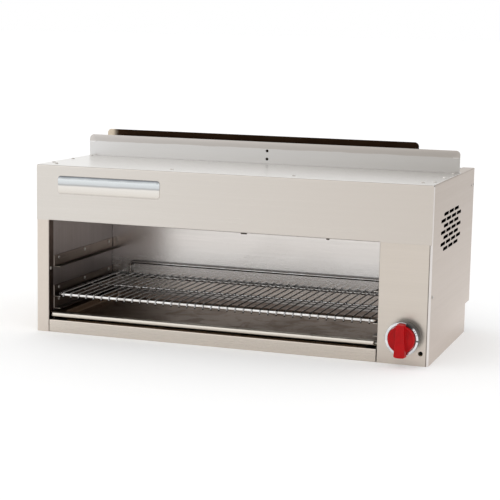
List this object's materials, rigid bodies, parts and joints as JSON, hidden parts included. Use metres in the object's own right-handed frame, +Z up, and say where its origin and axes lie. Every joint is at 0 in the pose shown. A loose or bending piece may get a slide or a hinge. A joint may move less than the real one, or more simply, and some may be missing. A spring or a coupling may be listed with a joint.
{
  "type": "cheese melter",
  "caption": "Gas cheese melter of folded stainless sheet, open at the front, with a sliding wire rack, a pull-out drip tray, burners under a hood and a turning gas knob.",
  "frame": {"origin": "on the surface the melter stands on, under the middle of its bounding box", "axes": "+X to the right as one faces the open front, +Y to the back, +Z up; the open front, the knob and the rack face -Y"},
  "size_m": [0.9184, 0.4968, 0.444],
  "materials": {
    "brushed_sheet": "fine horizontal brushing",
    "plain_sheet": "mill finish",
    "cavity_sheet": "mill finish, lightly marked",
    "heat_stained_sheet": "dull, stained by heat",
    "guide_sheet": "dull mill finish",
    "tray_sheet": "dull mill finish with a bright rolled edge",
    "burner_sheet": "aluminised, dull",
    "burner_ceramic": "matt perforated ceramic",
    "ceramic_wool": "matt mineral fibre blanket",
    "rack_chrome": "bright plated wire",
    "bezel_chrome": "polished",
    "red_knob": "smooth moulded red",
    "black_pipe": "black lacquered steel pipe",
    "valve_alloy": "die cast",
    "brass_parts": "machined",
    "plain_steel": "plain"
  },
  "bodies": {
    "casing": {"left_side_panel": "brushed_sheet", "right_side_panel": "brushed_sheet", "hood": "brushed_sheet", "control_panel": "brushed_sheet", "front_rail": "brushed_sheet", "base_pan": "plain_sheet", "back_panel": "plain_sheet", "top_panel": "brushed_sheet", "riser_plate": "plain_sheet", "flue_rear_plate": "heat_stained_sheet", "flue_front_wall": "heat_stained_sheet", "left_cavity_wall": "cavity_sheet", "right_cavity_wall": "cavity_sheet", "rear_cavity_wall": "cavity_sheet", "left_insulation": "ceramic_wool", "right_insulation": "ceramic_wool", "top_insulation": "ceramic_wool", "left_upper_guide": "guide_sheet", "left_rack_guide": "guide_sheet", "left_lower_guide": "guide_sheet", "left_tray_ledge": "guide_sheet", "right_upper_guide": "guide_sheet", "right_rack_guide": "guide_sheet", "right_lower_guide": "guide_sheet", "right_tray_ledge": "guide_sheet", "front_burner_support": "heat_stained_sheet", "rear_burner_support": "heat_stained_sheet", "screen_clips": "heat_stained_sheet", "left_burner": "burner_sheet", "right_burner": "burner_sheet", "left_plaques": "burner_ceramic", "right_plaques": "burner_ceramic", "left_screen": "heat_stained_sheet", "right_screen": "heat_stained_sheet", "left_mixing_tube": "burner_sheet", "right_mixing_tube": "burner_sheet", "manifold": "black_pipe", "orifices": "brass_parts", "gas_valve": "valve_alloy", "valve_bracket": "plain_sheet", "post_brace": "plain_sheet", "inlet_pipe": "black_pipe", "knob_bezel": "bezel_chrome", "pilot_valve": "brass_parts", "pilot_tube": "brass_parts", "pilot_burner": "plain_steel", "nameplate": "bezel_chrome", "top_screws": "plain_steel", "riser_screws": "plain_steel", "side_screws": "plain_steel", "back_screws": "plain_steel", "guide_screws": "plain_steel"},
    "gas_knob": {"knob": "red_knob", "valve_stem": "plain_steel"},
    "pilot_screw": {"pilot_adjuster": "plain_steel"},
    "rack": {"rack_grid": "rack_chrome", "rack_stop": "rack_chrome"},
    "tray": {"drip_tray": "tray_sheet"}
  },
  "joints": [
    {"name": "knob_turn", "type": "hinge", "parent": "casing", "child": "gas_knob", "pos_m": [0.4042, -0.2336, 0.06], "axis": [0, -1, 0], "range_deg": [0, 90]},
    {"name": "pilot_adjust", "type": "hinge", "parent": "casing", "child": "pilot_screw", "pos_m": [0.44, -0.1936, 0.027], "axis": [0, -1, 0], "range_deg": [-180, 180]},
    {"name": "rack_slide", "type": "slide", "parent": "casing", "child": "rack", "axis": [0, -1, 0], "range_m": [0, 0.22]},
    {"name": "tray_slide", "type": "slide", "parent": "casing", "child": "tray", "axis": [0, -1, 0], "range_m": [0, 0.25]}
  ]
}
